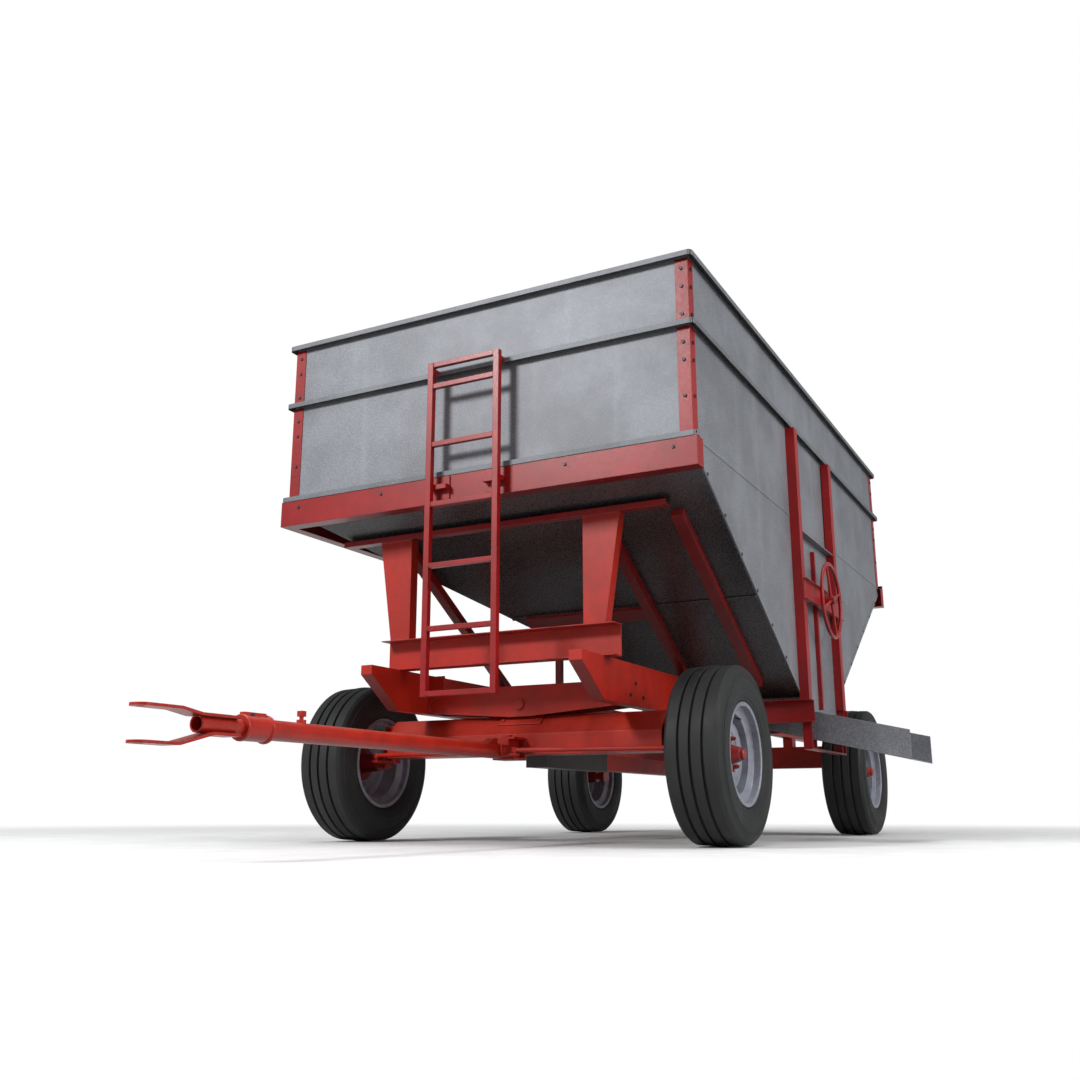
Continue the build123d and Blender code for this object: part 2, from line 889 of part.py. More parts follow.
bolster_middle = (bolster_front + bolster_rear) / 2
bolster_length = bolster_rear - bolster_front
with BuildPart() as front_bolster:
    for front in (bolster_front, bolster_rear - bolster_wall):
        add_profile(bolster_outline, Plane.XZ.offset(-front - bolster_wall), bolster_wall)
    add_block(-rail_inner, rail_inner, bolster_front, bolster_rear, bolster_top - bolster_wall, bolster_top)
    add_bore(0, bolster_middle, pivot_height, "y", pivot_radius + pivot_clearance, bolster_length + 2)
save(front_bolster.part, "front_bolster")

head_depth = 12.0
with BuildPart() as pivot_pin:
    add_bore(0, bolster_middle, pivot_height, "y", pivot_radius, bolster_length, Mode.ADD)
    add_bore(0, bolster_front - head_depth / 2, pivot_height, "y", 1.4 * pivot_radius, head_depth, Mode.ADD)
save(pivot_pin.part, "pivot_pin")

axle_wall = 8.0
block_half = 43.0
block_low = tongue_z - 28
block_high = tongue_z + 58
yaw_plate = 12.0
yaw_plate_front = yaw_y - 40
yaw_plate_half = 60.0
slide_fit = 0.3


def axle_outline(inset):
    """Cross-section of the front axle beam: upright below, leaning back above its step."""
    return [
        (axle_front + inset, axle_bottom + inset),
        (axle_front + inset, axle_step),
        (axle_front + axle_lean + inset, axle_top - inset),
        (axle_rear - inset, axle_top - inset),
        (axle_rear - inset, axle_bottom + inset),
    ]


with BuildPart() as front_axle:
    add_profile(axle_outline(0), Plane.YZ.offset(-axle_half), 2 * axle_half)
    add_profile(axle_outline(axle_wall), Plane.YZ.offset(-axle_half - 1), 2 * axle_half + 2, Mode.SUBTRACT)
    lug_front = axle_front + axle_lean
    add_block(-pivot_lug_half, pivot_lug_half, lug_front, axle_rear - 2, axle_top - axle_wall,
              pivot_height + 2 * pivot_radius)
    add_bore(0, bolster_middle, pivot_height, "y", pivot_radius + pivot_clearance, bolster_length)
    for side in (-1, 1):
        add_block(side * (axle_half - axle_wall), side * kingpin_x, front_axle_y - boss_radius,
                  front_axle_y + boss_radius, axle_bottom, boss_top - 10)
        boss_middle = (boss_bottom + boss_top) / 2
        add_bore(side * kingpin_x, front_axle_y, boss_middle, "z", boss_radius, boss_top - boss_bottom,
                 Mode.ADD)
        add_bore(side * kingpin_x, front_axle_y, boss_middle, "z", kingpin_radius + kingpin_clearance,
                 boss_top - boss_bottom + 1)
    plate_low = block_low - slide_fit - yaw_plate
    plate_high = block_high + slide_fit
    add_block(-yaw_plate_half, yaw_plate_half, axle_front - yaw_plate, axle_front + 1,
              plate_low, plate_high + yaw_plate)
    for low in (plate_low, plate_high):
        add_block(-yaw_plate_half, yaw_plate_half, yaw_plate_front, axle_front, low, low + yaw_plate)
    add_bore(0, yaw_y, tongue_z, "z", yaw_radius + yaw_clearance, 400)
save(front_axle.part, "front_axle")

with BuildPart() as yaw_pin:
    pin_top = plate_high + yaw_plate
    add_bore(0, yaw_y, (plate_low + pin_top) / 2, "z", yaw_radius, pin_top - plate_low, Mode.ADD)
    add_bore(0, yaw_y, pin_top + 5, "z", 1.4 * yaw_radius, 10, Mode.ADD)
save(yaw_pin.part, "yaw_pin")

# ============================== spindles ====================================================

yoke_low = boss_bottom - yoke_gap - yoke_wall
yoke_high = boss_top + yoke_gap
for side, name in ((-1, "left_spindle"), (1, "right_spindle")):
    with BuildPart() as spindle:
        for low in (yoke_low, yoke_high):
            add_bore(side * kingpin_x, front_axle_y, low + yoke_wall / 2, "z", boss_radius + 4, yoke_wall,
                     Mode.ADD)
            add_block(side * kingpin_x, side * knuckle_x, front_axle_y - boss_radius,
                      front_axle_y + boss_radius, low, low + yoke_wall)
        add_bore(side * kingpin_x, front_axle_y, (yoke_low + yoke_high + yoke_wall) / 2, "z",
                 kingpin_radius, yoke_high + yoke_wall - yoke_low, Mode.ADD)
        add_block(side * knuckle_x, side * (knuckle_x + knuckle_wall), front_axle_y - boss_radius,
                  front_axle_y + boss_radius, axle_height - boss_radius, yoke_high + yoke_wall)
        stub_start = knuckle_x + knuckle_wall - 1
        add_bore(side * (stub_start + stub_end) / 2, front_axle_y, axle_height, "x", stub_radius,
                 stub_end - stub_start, Mode.ADD)
        arm_end = front_axle_y - steer_arm
        add_block(side * (kingpin_x - arm_width / 2), side * (kingpin_x + arm_width / 2),
                  arm_end - arm_width / 2, front_axle_y, yoke_low, yoke_low + yoke_wall)
    save(spindle.part, name)

# ============================== steering block, rods and tongue =============================

block_front = yaw_y - 52
ear_rear = block_front - 16
ear_outer = ear_gap + ear_wall
ear_low = tongue_z - 26
ear_high = tongue_z + 28
wing_low = tongue_z - 23
with BuildPart() as steer_block:
    add_block(-block_half + 8, block_half - 8, block_front, yaw_y + 52, block_low, block_high)
    add_block(-ear_outer, ear_outer, ear_rear, block_front + 1, ear_low, ear_high)
    for side in (-1, 1):
        add_block(side * ear_gap, side * ear_outer, lift_y - 27, ear_rear + 1, ear_low, ear_high)
        add_block(side * ear_outer, side * (rod_inner_x + 20), rod_inner_y - 16, rod_inner_y + 16,
                  wing_low, wing_low + arm_plate)
    add_bore(0, yaw_y, tongue_z, "z", yaw_radius + yaw_clearance, 400)
    add_bore(0, lift_y, tongue_z, "x", lift_radius + lift_clearance, 4 * ear_outer)
with BuildPart() as lift_pin:
    add_bore(0, lift_y, tongue_z, "x", lift_radius, 2 * ear_outer + 12, Mode.ADD)
save(Compound(children=[steer_block.part, lift_pin.part]), "steer_block")

with BuildPart() as tie_rods:
    rod_outer_y = front_axle_y - steer_arm
    rod_run = kingpin_x - rod_inner_x
    rod_rise = rod_outer_y - rod_inner_y
    rod_angle = degrees(atan2(rod_rise, rod_run))
    for side in (-1, 1):
        middle = (side * (kingpin_x + rod_inner_x) / 2, (rod_outer_y + rod_inner_y) / 2, rod_z)
        with Locations(Location(middle, (0, 0, side * rod_angle))):
            with Locations(Rotation(0, 90, 0)):
                Cylinder(rod_radius, hypot(rod_run, rod_rise))
        ends = (
            (rod_inner_x, rod_inner_y, wing_low + arm_plate),
            (kingpin_x, rod_outer_y, yoke_low + yoke_wall),
        )
        for x, y, seat in ends:
            add_bore(side * x, y, rod_z, "z", rod_radius + 5, 2 * rod_radius + 4, Mode.ADD)
            stud_low = seat + 0.4
            stud_high = rod_z - rod_radius + 1
            add_bore(side * x, y, (stud_low + stud_high) / 2, "z", stud_radius, stud_high - stud_low,
                     Mode.ADD)
save(tie_rods.part, "tie_rods")

collar_rear = tongue_front + collar_length
with BuildPart() as tongue_tube:
    add_bore(0, (tongue_rear + tongue_front) / 2, tongue_z, "y", tongue_radius,
             tongue_rear - tongue_front, Mode.ADD)
    add_bore(0, (tongue_front + collar_rear) / 2, tongue_z, "y", collar_radius, collar_length, Mode.ADD)
    add_block(-12, 12, tongue_front + 12, collar_rear - 12, tongue_z + collar_radius - 8,
              tongue_z + collar_radius + 10)
    with Locations((0, latch_y, tongue_z + tongue_radius + 1)):
        Cylinder(18, 20)
    bore_rear = lift_y - 60
    add_bore(0, (collar_rear + bore_rear) / 2, tongue_z, "y", tongue_bore, bore_rear - collar_rear)
    add_bore(0, (tongue_front + collar_rear) / 2, tongue_z, "y", slider_radius + slider_clearance,
             collar_length + 2)
    add_bore(0, lift_y, tongue_z, "x", lift_radius + lift_clearance, 4 * tongue_radius)
    add_bore(0, latch_y, tongue_z + tongue_radius, "z", 8.05, 40)
save(tongue_tube.part, "tongue_tube")

strap_inner = slider_radius - 5
strap_rear = tongue_front - 30


def strap_outline(root, tip, bend_start, bend_end):
    """Side outline of one hitch strap, bent between the slider and the tip."""
    spine = [(strap_rear, root), (bend_start, root), (bend_end, tip), (hitch_tip, tip)]
    upper = [(y, z + hitch_wall) for y, z in reversed(spine)]
    return spine + upper


with BuildPart() as tongue_slider:
    add_bore(0, (slider_rear + slider_front) / 2, tongue_z, "y", slider_radius,
             slider_rear - slider_front, Mode.ADD)
    add_bore(0, (slider_rear + slider_front) / 2, tongue_z, "y", slider_radius - 6,
             slider_rear - slider_front + 2)
    straps = (
        (tongue_z + strap_inner, hitch_upper - hitch_wall / 2, -1700, -1790),
        (tongue_z - strap_inner - hitch_wall, hitch_lower, -1640, -1790),
    )
    for root, tip, bend_start, bend_end in straps:
        add_profile(strap_outline(root, tip, bend_start, bend_end), Plane.YZ.offset(-hitch_width / 2),
                    hitch_width)
    tip_edges = tongue_slider.edges().filter_by(Axis.Z).group_by(Axis.Y)[0]
    fillet(tip_edges, 0.45 * hitch_width)
    add_bore(0, hitch_y, tongue_z, "z", hitch_hole, 400)
save(tongue_slider.part, "tongue_slider")

with BuildPart() as latch_pin:
    pin_low = tongue_z + slider_radius + 4
    pin_high = tongue_z + 61
    add_bore(0, latch_y, (pin_low + pin_high) / 2, "z", 8.0, pin_high - pin_low, Mode.ADD)
    add_block(-12, 12, latch_y - 12, latch_y + 12, pin_high - 1, pin_high + 20)
save(latch_pin.part, "latch_pin")

# ============================== rear axle and reach =========================================

drop_x = kingpin_x + 20
drop_wall = 12.0
rear_front = rear_axle_y - rear_beam_width / 2
rear_back = rear_axle_y + rear_beam_width / 2
with BuildPart() as rear_axle:
    add_block(-drop_x, drop_x, rear_front, rear_back, rear_beam_bottom, rear_beam_top)
    add_block(-drop_x + 6, drop_x - 6, rear_front + 6, rear_back + 1, rear_beam_bottom + 6,
              rear_beam_top - 6, Mode.SUBTRACT)
    for side in (-1, 1):
        add_block(side * (drop_x - 1), side * (drop_x + drop_wall), rear_front, rear_back,
                  axle_height - 38, rear_beam_top)
        stub_start = drop_x + drop_wall - 1
        add_bore(side * (stub_start + stub_end) / 2, rear_axle_y, axle_height, "x", stub_radius,
                 stub_end - stub_start, Mode.ADD)
        add_block(side * rail_inner, side * rail_outer, rear_front, rear_back, rear_beam_top - 1, rail_bottom)
save(rear_axle.part, "rear_axle")

reach_half = reach_size / 2
reach_top = reach_bottom + reach_size
head_wall = 15.0
with BuildPart() as reach_sleeve:
    add_block(-pivot_lug_half, pivot_lug_half, bolster_rear, bolster_rear + head_wall, reach_bottom,
              pivot_height - 1.4 * pivot_radius)
    add_block(-reach_half, reach_half, bolster_rear, reach_sleeve_end, reach_bottom, reach_top)
    bore_half = reach_half - reach_wall
    add_block(-bore_half, bore_half, bolster_rear + head_wall, reach_sleeve_end + 1,
              reach_bottom + reach_wall, reach_top - reach_wall, Mode.SUBTRACT)
save(reach_sleeve.part, "reach_sleeve")

with BuildPart() as reach_pole:
    pole_half = bore_half - reach_clearance
    pole_middle = (reach_bottom + reach_top) / 2
    add_block(-pole_half, pole_half, reach_sleeve_end - 320, rear_front, pole_middle - pole_half,
              pole_middle + pole_half)
    hollow = pole_half - reach_wall
    add_block(-hollow, hollow, reach_sleeve_end - 321, rear_front - reach_wall, pole_middle - hollow,
              pole_middle + hollow, Mode.SUBTRACT)
save(reach_pole.part, "reach_pole")

# ============================== wheels ======================================================

def place_wheel(part, side, axle_y):
    """A wheel piece drawn round the X axis, outer side towards +X, put on its stub."""
    turn = 0 if side > 0 else 180
    return part.moved(Location((side * wheel_x, axle_y, axle_height), (0, 0, turn)))


bead = rim_seat + tyre_gap
bead_outer = rim_half - 6 - tyre_gap
shoulder = tyre_half - 16


def tread_points():
    """The ribbed tread from the left shoulder to the right one, with its grooves."""
    points = [(-shoulder, tyre_radius - 18), (-shoulder + 14, tyre_radius - 6)]
    for centre in (-groove_pitch, 0.0, groove_pitch):
        crown = tyre_radius - 4 * abs(centre) / groove_pitch
        side = groove_width / 2
        points.append((centre - side - 3, crown))
        points.append((centre - side + 1, crown - groove_depth))
        points.append((centre + side - 1, crown - groove_depth))
        points.append((centre + side + 3, crown))
    points += [(shoulder - 14, tyre_radius - 6), (shoulder, tyre_radius - 18)]
    return points


with BuildPart() as tyre:
    with BuildSketch(Plane.XY):
        with BuildLine():
            tread = tread_points()
            Polyline(*tread)
            ThreePointArc(tread[0], (-tyre_half, 0.55 * tyre_radius + 94), (-bead_outer - 9, bead + 21))
            Polyline((-bead_outer - 9, bead + 21), (-bead_outer, bead + 14), (-bead_outer, bead),
                     (-bead_outer + 25, bead))
            ThreePointArc((-bead_outer + 25, bead), (-tyre_half + 24, 310), (-90, tyre_radius - 38))
            Line((-90, tyre_radius - 38), (90, tyre_radius - 38))
            ThreePointArc((90, tyre_radius - 38), (tyre_half - 24, 310), (bead_outer - 25, bead))
            Polyline((bead_outer - 25, bead), (bead_outer, bead), (bead_outer, bead + 14),
                     (bead_outer + 9, bead + 21))
            ThreePointArc((bead_outer + 9, bead + 21), (tyre_half, 0.55 * tyre_radius + 94), tread[-1])
        make_face()
    revolve(axis=Axis.X)

seat_inner = rim_seat - rim_wall
flange_top = rim_flange - 4
barrel_outline = [
    (-rim_half, flange_top), (-rim_half + 6, flange_top), (-rim_half + 6, rim_seat), (-86, rim_seat),
    (-70, rim_well), (70, rim_well), (86, rim_seat), (rim_half - 6, rim_seat),
    (rim_half - 6, flange_top), (rim_half, flange_top), (rim_half, seat_inner), (89, seat_inner),
    (73, rim_well - rim_wall), (-73, rim_well - rim_wall), (-89, seat_inner), (-rim_half, seat_inner),
]
disc_outline = [
    (20, rim_well - 1), (26, rim_well - 20), (50, 152), (53, 136), (40, 100), (40, disc_hole),
    (34, disc_hole), (34, 101), (47, 136), (45, 148), (20, rim_well - 22), (14, rim_well - 1),
]
with BuildPart() as rim:
    for outline in (barrel_outline, disc_outline):
        with BuildSketch(Plane.XY) as section:
            with BuildLine():
                Polyline(*outline, close=True)
            make_face()
        revolve(section.sketch, axis=Axis.X)
    for side in (-1, 1):
        with Locations(Location((side * (rim_half - 1), 0, 0), (0, 90, 0))):
            Torus(flange_top, 4)

disc_face = 40.0
with BuildPart() as hub:
    with BuildSketch(Plane.XY):
        with BuildLine():
            Polyline(
                (-95, stub_radius + bearing_clearance), (-95, 44), (16, 50), (22, 60), (22, 92), (34, 92),
                (34, disc_hole - 2), (disc_face + 6, disc_hole - 4), (disc_face + 18, 44), (96, 32),
                (98, 27), (hub_nose - 6, 26), (hub_nose, 18), (hub_nose, 0), (104, 0),
                (104, stub_radius + bearing_clearance), close=True,
            )
        make_face()
    revolve(axis=Axis.X)

with BuildPart() as lug_nuts:
    with BuildSketch(Plane.YZ.offset(disc_face)):
        with PolarLocations(lug_circle, lug_count, start_angle=15):
            RegularPolygon(lug_across / 2, 6)
    extrude(amount=lug_height)
    with BuildSketch(Plane.YZ.offset(disc_face + lug_height)):
        with PolarLocations(lug_circle, lug_count, start_angle=15):
            Circle(7)
    extrude(amount=9)

for corner, side, axle_y in (
    ("front_left", -1, front_axle_y),
    ("front_right", 1, front_axle_y),
    ("rear_left", -1, rear_axle_y),
    ("rear_right", 1, rear_axle_y),
):
    save(place_wheel(tyre.part, side, axle_y), f"{corner}_tyre")
    save(place_wheel(rim.part, side, axle_y), f"{corner}_rim")
    hub_group = [place_wheel(hub.part, side, axle_y), place_wheel(lug_nuts.part, side, axle_y)]
    save(Compound(children=hub_group), f"{corner}_hub")

# ============================== fasteners ===================================================

bolt_radius = 9.0
bolt_height = 6.0
beam_bolts = (525.0, 1062.0)
beam_bolt_drop = 38.0
post_bolts = (1967.0, 2139.0, 2225.0, 2363.0, 2501.0, 2590.0)
vee_bolt_first = 167.0
vee_bolt_step = 228.0
vee_bolt_count = 6
vee_bolt_inset = 16.0
rail_bolts = ((565.0, 762.0), (500.0, 700.0), (655.0, 700.0))


def add_bolts(plane, points):
    """Hexagon bolt heads standing on a plane."""
    with BuildSketch(plane) as heads:
        with Locations(*points):
            RegularPolygon(bolt_radius, 6)
    extrude(heads.sketch, amount=bolt_height)


with BuildPart() as bolts:
    bolt_line = beam_top - beam_bolt_drop
    across = [side * x for side in (-1, 1) for x in beam_bolts]
    add_bolts(Plane.XZ.offset(beam_reach), [(x, bolt_line) for x in across])
    post_middle = half - corner_leg / 2
    for side in (-1, 1):
        add_bolts(Plane.XZ.offset(corner_wall), [(side * post_middle, height) for height in post_bolts])
    side_face = Plane.YZ.offset(half + corner_wall)
    for y in (corner_leg / 2, box_length - corner_leg / 2):
        add_bolts(side_face, [(y, height) for height in post_bolts])
    vee_bolts = []
    for step in range(vee_bolt_count):
        y = vee_bolt_first + step * vee_bolt_step
        height = slope_height(y) + vee_bolt_inset
        vee_bolts += [(y, height), (box_length - y, height)]
    add_bolts(Plane.YZ.offset(half), vee_bolts)
    add_bolts(Plane.YZ.offset(rail_outer), list(rail_bolts))
save(bolts.part, "frame_bolts")
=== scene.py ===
from math import cos, pi, radians, sin

import bmesh
import bpy
from mathutils import Matrix, Vector


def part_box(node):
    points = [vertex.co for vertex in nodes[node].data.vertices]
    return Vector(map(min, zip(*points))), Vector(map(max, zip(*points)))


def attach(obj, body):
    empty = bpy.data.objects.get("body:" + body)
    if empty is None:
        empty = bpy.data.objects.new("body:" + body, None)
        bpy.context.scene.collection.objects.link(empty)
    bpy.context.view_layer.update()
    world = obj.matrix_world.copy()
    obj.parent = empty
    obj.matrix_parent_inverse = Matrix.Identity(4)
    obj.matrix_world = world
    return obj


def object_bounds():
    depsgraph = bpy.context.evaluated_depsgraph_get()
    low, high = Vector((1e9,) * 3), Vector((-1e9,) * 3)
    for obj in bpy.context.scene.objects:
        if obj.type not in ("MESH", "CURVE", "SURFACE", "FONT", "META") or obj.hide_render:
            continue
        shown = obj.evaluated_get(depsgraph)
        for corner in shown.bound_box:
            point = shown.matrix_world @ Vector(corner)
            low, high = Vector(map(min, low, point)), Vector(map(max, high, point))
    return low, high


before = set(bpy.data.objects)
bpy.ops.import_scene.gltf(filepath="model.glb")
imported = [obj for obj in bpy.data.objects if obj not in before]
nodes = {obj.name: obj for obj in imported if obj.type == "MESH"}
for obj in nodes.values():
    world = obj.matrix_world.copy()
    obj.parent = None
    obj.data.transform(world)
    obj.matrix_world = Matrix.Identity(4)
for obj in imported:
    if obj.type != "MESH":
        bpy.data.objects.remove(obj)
cad_low, cad_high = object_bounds()


# ============================== places taken from the frame =================================

front_low, front_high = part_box("front_sheet")
left_low, left_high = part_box("left_sheet")
right_low, right_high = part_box("right_sheet")
front_y = front_low.y
rear_y = left_high.y
middle_x = (front_low.x + front_high.x) / 2
left_x = left_low.x
right_x = right_high.x
ground = cad_low.z


# ============================== materials ===================================================

class Shader:
    """One material: its node tree, and the surface shader that its nodes feed."""

    # Several of a mix node's sockets share one name, so its colour sockets go by number.
    MIX_SHARE, MIX_FIRST, MIX_SECOND, MIX_RESULT = 0, 6, 7, 2

    def __init__(self, name, **sockets):
        self.material = bpy.data.materials.new(name)
        self.material.use_nodes = True
        self.tree = self.material.node_tree
        self.surface = self.tree.nodes["Principled BSDF"]
        self.set(**sockets)
        self.place = self.tree.nodes.new("ShaderNodeTexCoord").outputs["Object"]

    def set(self, **sockets):
        """Set the surface shader's own sockets, or feed them from node outputs."""
        for name, value in sockets.items():
            self.feed(value, self.surface.inputs[name.replace("_", " ")])

    def feed(self, value, socket):
        if isinstance(value, bpy.types.NodeSocket):
            self.tree.links.new(value, socket)
        else:
            socket.default_value = value

    def node(self, kind, inputs=(), **settings):
        """A node with its settings, and its inputs given by name or number."""
        made = self.tree.nodes.new(kind)
        for name, value in settings.items():
            setattr(made, name, value)
        for name, value in dict(inputs).items():
            self.feed(value, made.inputs[name])
        return made

    def stretched(self, scale):
        """The object's own coordinates, stretched by a scale on each axis."""
        return self.node("ShaderNodeMapping", {"Vector": self.place, "Scale": scale}).outputs[0]

    def noise(self, scale, detail, roughness, stretch=None):
        vector = self.place if stretch is None else self.stretched(stretch)
        inputs = {"Vector": vector, "Scale": scale, "Detail": detail, "Roughness": roughness}
        return self.node("ShaderNodeTexNoise", inputs).outputs["Fac"]

    def cells(self, scale):
        """The distance to the nearest of many scattered centres."""
        inputs = {"Vector": self.place, "Scale": scale}
        return self.node("ShaderNodeTexVoronoi", inputs).outputs["Distance"]

    def band(self, value, low, high, start=0.0, end=1.0):
        """A value's stretch from low to high, turned smoothly into start to end."""
        inputs = {"Value": value, "From Min": low, "From Max": high, "To Min": start, "To Max": end}
        return self.node("ShaderNodeMapRange", inputs, interpolation_type="SMOOTHSTEP").outputs[0]

    def math(self, operation, first, second):
        return self.node("ShaderNodeMath", {0: first, 1: second}, operation=operation).outputs[0]

    def mix(self, share, first, second):
        """Two colours mixed: the first alone at share 0, and the second alone at share 1."""
        made = self.node("ShaderNodeMix", data_type="RGBA")
        self.feed(share, made.inputs[self.MIX_SHARE])
        self.feed(first, made.inputs[self.MIX_FIRST])
        self.feed(second, made.inputs[self.MIX_SECOND])
        return made.outputs[self.MIX_RESULT]

    def blend_in(self, shade, tone, value, low, high, most=1.0):
        """A shade with a tone blended in, up to a share, as a value goes from low to high."""
        return self.mix(self.band(value, low, high, 0.0, most), shade, tone)

    def lay_over(self, shade, tone, mask, most):
        """A shade with a tone laid over it, up to a share, where a mask is 1."""
        return self.mix(self.math("MULTIPLY", mask, most), shade, tone)

    def facing_up(self):
        """How far the surface faces up: 1 on a top, 0 on a wall and -1 underneath."""
        normal = self.node("ShaderNodeNewGeometry").outputs["Normal"]
        return self.node("ShaderNodeSeparateXYZ", {0: normal}).outputs["Z"]

    def edges(self, radius):
        """1 where the surface is near a sharp edge, and 0 on the flat, with the rounded normal."""
        flat, sharp = 0.998, 0.90
        rounded = self.node("ShaderNodeBevel", {"Radius": radius}, samples=4).outputs[0]
        normal = self.node("ShaderNodeNewGeometry").outputs["Normal"]
        dot = self.node("ShaderNodeVectorMath", {0: rounded, 1: normal}, operation="DOT_PRODUCT")
        return self.band(dot.outputs["Value"], flat, sharp), rounded

    def bump(self, height, strength, distance, normal=None):
        inputs = {"Height": height, "Strength": strength, "Distance": distance}
        if normal is not None:
            inputs["Normal"] = normal
        self.set(Normal=self.node("ShaderNodeBump", inputs).outputs[0])

    def finished(self, shade, sheen, relief, strength, distance, normal):
        """The material, with its colour, roughness and relief fed in."""
        self.set(Base_Color=shade, Roughness=sheen)
        self.bump(relief, strength, distance, normal)
        return self.material


def colour(red, green, blue):
    """An sRGB colour from 0 to 1 as the linear one that a shader takes."""
    linear = []
    for value in (red, green, blue):
        linear.append(value / 12.92 if value <= 0.04045 else ((value + 0.055) / 1.055) ** 2.4)
    return (*linear, 1.0)


def scaled(tone, share):
    """A tone made darker or paler by a share."""
    return colour(*(value * share for value in tone))


GRAIN_SCALE = 130.0
WHITE = (1.0, 1.0, 1.0, 1.0)
# Near-black painted shade, laid over the downward faces of the zinc sheets.
PAINTED_UNDERSIDE_SHADE = colour(0.055, 0.05, 0.05)
FIELD_DUST = colour(0.50, 0.38, 0.32)
RUBBED_PAINT = colour(0.66, 0.36, 0.30)
CHIPPED_PAINT = colour(0.16, 0.12, 0.11)
# Dark red painted shade, laid over the downward faces of painted parts.
PAINTED_SHADE_RED = colour(0.13, 0.02, 0.02)
RUST = colour(0.33, 0.18, 0.10)


def galvanised(name, tone, roughness, metallic, underside_shade):
    """Weathered zinc sheet: fine grains, larger pale clouds, rain streaks and painted shade on the
    undersides.
    """
    shader = Shader(name, Metallic=metallic)
    grains = shader.noise(scale=GRAIN_SCALE, detail=4.0, roughness=0.8)
    spangle = shader.cells(scale=95.0)
    clouds = shader.noise(scale=2.6, detail=5.0, roughness=0.62)
    streaks = shader.noise(scale=9.0, detail=4.0, roughness=0.6, stretch=(1.0, 1.0, 0.08))
    dark, plain, pale = scaled(tone, 0.78), scaled(tone, 1.0), scaled(tone, 1.2)
    shade = shader.blend_in(dark, plain, clouds, 0.32, 0.68)
    shade = shader.blend_in(shade, pale, streaks, 0.52, 0.8, 0.38)
    shade = shader.blend_in(shade, pale, grains, 0.42, 0.72, 0.8)
    shade = shader.blend_in(shade, dark, grains, 0.5, 0.3, 0.6)
    shade = shader.blend_in(shade, dark, spangle, 0.1, 0.75, 0.3)
    worn, rounded = shader.edges(0.005)
    shade = shader.lay_over(shade, pale, worn, 0.5)
    # Painted shade: the downward faces darken towards near black, by the underside share.
    down = shader.band(shader.facing_up(), -0.35, -0.8)
    shade = shader.lay_over(shade, PAINTED_UNDERSIDE_SHADE, down, underside_shade)
    sheen = shader.band(grains, 0.2, 0.8, roughness - 0.09, roughness + 0.14)
    relief = shader.math("ADD", grains, shader.math("MULTIPLY", clouds, 3.0))
    return shader.finished(shade, sheen, relief, 0.35, 0.0011, rounded)


def paint(name, tone, dull, wear=0.5, roughness=0.36):
    """Brushed-on machinery paint: orange-peel skin, faded specks, dusty tops, rubbed edges and
    painted shade underneath.
    """
    shader = Shader(name, Metallic=0.0, Coat_Weight=0.18, Coat_Roughness=0.25)
    patches = shader.noise(scale=4.5, detail=6.0, roughness=0.65)
    specks = shader.noise(scale=GRAIN_SCALE, detail=4.0, roughness=0.8)
    peel = shader.noise(scale=650.0, detail=2.0, roughness=0.5)
    chips = shader.noise(scale=38.0, detail=6.0, roughness=0.7)
    shade = shader.blend_in(scaled(tone, 0.84), colour(*tone), patches, 0.3, 0.7)
    shade = shader.blend_in(shade, colour(*dull), specks, 0.5, 0.78, 0.4)
    up = shader.band(shader.facing_up(), 0.4, 0.95)
    shade = shader.lay_over(shade, FIELD_DUST, up, shader.band(patches, 0.35, 0.75, 0.15, 0.6))
    worn, rounded = shader.edges(0.004)
    rubbed = shader.band(chips, 0.42, 0.62, 0.0, wear)
    shade = shader.lay_over(shade, RUBBED_PAINT, worn, rubbed)
    chipped = shader.band(chips, 0.64, 0.70, 0.0, 0.85)
    shade = shader.lay_over(shade, CHIPPED_PAINT, worn, chipped)
    # Painted shade: the downward faces darken towards dark red.
    down = shader.band(shader.facing_up(), -0.4, -0.9)
    shade = shader.lay_over(shade, PAINTED_SHADE_RED, down, 0.45)
    sheen = shader.band(specks, 0.25, 0.8, roughness - 0.08, roughness + 0.2)
    relief = shader.math("ADD", peel, shader.math("MULTIPLY", specks, 1.5))
    return shader.finished(shade, sheen, relief, 0.22, 0.0009, rounded)


def rubber(name):
    """Tyre rubber: fine pores, a faint haze and greyer edges."""
    shader = Shader(name)
    pores = shader.noise(scale=520.0, detail=3.0, roughness=0.6)
    haze = shader.noise(scale=6.0, detail=5.0, roughness=0.6)
    black, grey = colour(0.085, 0.088, 0.09), colour(0.135, 0.138, 0.14)
    shade = shader.blend_in(black, grey, haze, 0.3, 0.7)
    shade = shader.blend_in(shade, colour(0.20, 0.205, 0.21), pores, 0.45, 0.8, 0.5)
    worn, rounded = shader.edges(0.004)
    shade = shader.lay_over(shade, colour(0.25, 0.255, 0.26), worn, 0.5)
    sheen = shader.band(haze, 0.3, 0.7, 0.56, 0.74)
    relief = shader.math("ADD", pores, shader.math("MULTIPLY", haze, 2.0))
    return shader.finished(shade, sheen, relief, 0.3, 0.0008, rounded)


def rim_enamel(name):
    """Silver wheel enamel with a fine flake, grime and rubbed lips."""
    shader = Shader(name, Metallic=0.25, Coat_Weight=0.2, Coat_Roughness=0.25)
    flake = shader.noise(scale=480.0, detail=2.0, roughness=0.6)
    grime = shader.noise(scale=11.0, detail=6.0, roughness=0.7)
    dull, silver = colour(0.50, 0.51, 0.55), colour(0.64, 0.65, 0.70)
    shade = shader.blend_in(dull, silver, grime, 0.3, 0.62)
    shade = shader.blend_in(shade, colour(0.86, 0.87, 0.90), flake, 0.4, 0.75, 0.35)
    worn, rounded = shader.edges(0.003)
    shade = shader.lay_over(shade, colour(0.88, 0.88, 0.90), worn, 0.5)
    sheen = shader.band(grime, 0.3, 0.7, 0.46, 0.34)
    relief = shader.math("ADD", flake, grime)
    return shader.finished(shade, sheen, relief, 0.15, 0.0006, rounded)


